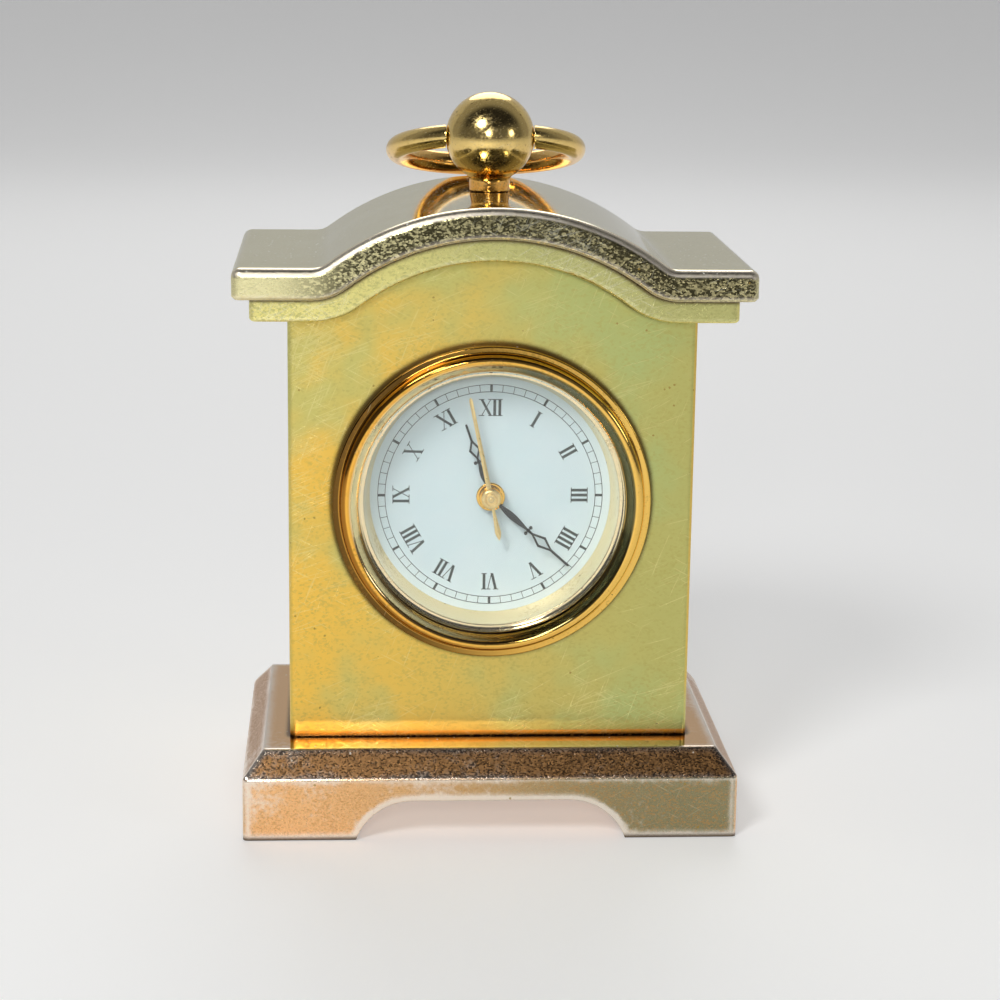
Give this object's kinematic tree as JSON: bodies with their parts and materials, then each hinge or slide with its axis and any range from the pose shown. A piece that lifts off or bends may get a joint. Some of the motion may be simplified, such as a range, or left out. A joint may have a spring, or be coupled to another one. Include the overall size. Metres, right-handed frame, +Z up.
{
  "type": "pendulette clock",
  "caption": "Miniature brass mantel clock with an arched cornice, stepped plinth and folding ring handle, and a pull-out quartz insert with geared hands.",
  "frame": {"origin": "on the table, under the middle of the whole clock with its ring handle folded back", "axes": "+Z up, -Y the way the dial faces, +X to the right as the dial is read"},
  "size_m": [0.0434, 0.0294, 0.0624],
  "materials": {
    "case_brass": "satin, finely scratched",
    "cornice_brass": "satin, pale gold",
    "polished_brass": "polished",
    "steel": "plain",
    "insert_shell": "satin",
    "grip_plastic": "plain",
    "holder_plastic": "plain",
    "crystal_glass": "clear",
    "dial_white": "satin enamel",
    "hand_black": "gloss",
    "hand_gold": "polished",
    "movement_brass": "plain",
    "wheel_plastic": "plain",
    "battery_steel": "satin",
    "copper": "lacquered wire",
    "board_green": "lacquered",
    "chip_black": "plain",
    "crown_steel": "plain"
  },
  "bodies": {
    "case": {"plinth": "case_brass", "case_body": "case_brass", "cornice_moulding": "cornice_brass", "cornice_cap": "cornice_brass", "base_screws": "steel", "cornice_dowels": "steel", "ball_finial": "polished_brass"},
    "ring": {"ring_handle": "polished_brass"},
    "insert": {"bezel": "polished_brass", "crystal": "crystal_glass", "insert_cup": "insert_shell", "grip_ring": "grip_plastic", "dial": "dial_white", "movement_holder": "holder_plastic", "main_plate": "movement_brass", "train_bridge": "movement_brass", "bridge_screws": "steel", "battery": "battery_steel", "battery_strap": "steel", "strap_screw": "steel", "stator": "steel", "coil_core": "steel", "coil_winding": "copper", "circuit_board": "board_green", "circuit_chip": "chip_black", "oscillator_can": "steel"},
    "cover": {"insert_back": "insert_shell"},
    "hour": {"hour_hand": "hand_black", "hour_collet": "hand_gold", "hour_wheel": "movement_brass"},
    "minute": {"minute_hand": "hand_black", "minute_collet": "hand_gold", "centre_wheel": "movement_brass"},
    "second": {"second_hand": "hand_gold", "seconds_wheel": "movement_brass"},
    "third": {"third_wheel": "movement_brass"},
    "intermediate": {"intermediate_wheel": "wheel_plastic"},
    "motor_rotor": {"rotor": "steel"},
    "motion": {"minute_wheel": "movement_brass"},
    "clutch": {"clutch_pinion": "steel"},
    "stem": {"setting_stem": "steel", "crown": "crown_steel"}
  },
  "joints": [
    {"name": "ring_swing", "type": "hinge", "parent": "case", "child": "ring", "pos_m": [0, -0.00056, 0.0586], "axis": [1, 0, 0], "range_deg": [0, 209]},
    {"name": "insert_pull", "type": "slide", "parent": "case", "child": "insert", "axis": [0, -1, 0], "range_m": [0, 0.012]},
    {"name": "back_release", "type": "slide", "parent": "insert", "child": "cover", "axis": [0, 1, 0], "range_m": [0, 0.003]},
    {"name": "second_hand_turn", "type": "hinge", "parent": "insert", "child": "second", "pos_m": [0, 0, 0.0286], "axis": [0, 1, 0], "continuous": true},
    {"name": "minute_hand_turn", "type": "hinge", "parent": "insert", "child": "minute", "pos_m": [0, 0, 0.0286], "axis": [0, 1, 0], "continuous": true},
    {"name": "hour_hand_turn", "type": "hinge", "parent": "insert", "child": "hour", "pos_m": [0, 0, 0.0286], "axis": [0, 1, 0], "continuous": true},
    {"name": "third_wheel_turn", "type": "hinge", "parent": "insert", "child": "third", "pos_m": [-0.0013, 0, 0.03217], "axis": [0, 1, 0], "continuous": true},
    {"name": "intermediate_wheel_turn", "type": "hinge", "parent": "insert", "child": "intermediate", "pos_m": [0.00357, 0, 0.0273], "axis": [0, 1, 0], "continuous": true},
    {"name": "rotor_turn", "type": "hinge", "parent": "insert", "child": "motor_rotor", "pos_m": [0.00494, 0, 0.02494], "axis": [0, 1, 0], "continuous": true},
    {"name": "minute_wheel_turn", "type": "hinge", "parent": "insert", "child": "motion", "pos_m": [0.0016, 0, 0.03137], "axis": [0, 1, 0], "continuous": true},
    {"name": "crown_turn", "type": "hinge", "parent": "insert", "child": "clutch", "pos_m": [0.0076, -0.00512, 0.0286], "axis": [1, 0, 0], "continuous": true},
    {"name": "crown_pull", "type": "slide", "parent": "clutch", "child": "stem", "axis": [1, 0, 0], "range_m": [0, 0.00045]}
  ],
  "couplings": [
    {"joint": "third_wheel_turn", "follows": "second_hand_turn", "ratio": -0.125},
    {"joint": "minute_hand_turn", "follows": "second_hand_turn", "ratio": 0.016667},
    {"joint": "minute_wheel_turn", "follows": "second_hand_turn", "ratio": -0.0055556},
    {"joint": "hour_hand_turn", "follows": "second_hand_turn", "ratio": 0.0013889},
    {"joint": "intermediate_wheel_turn", "follows": "second_hand_turn", "ratio": -5},
    {"joint": "rotor_turn", "follows": "second_hand_turn", "ratio": 30}
  ]
}
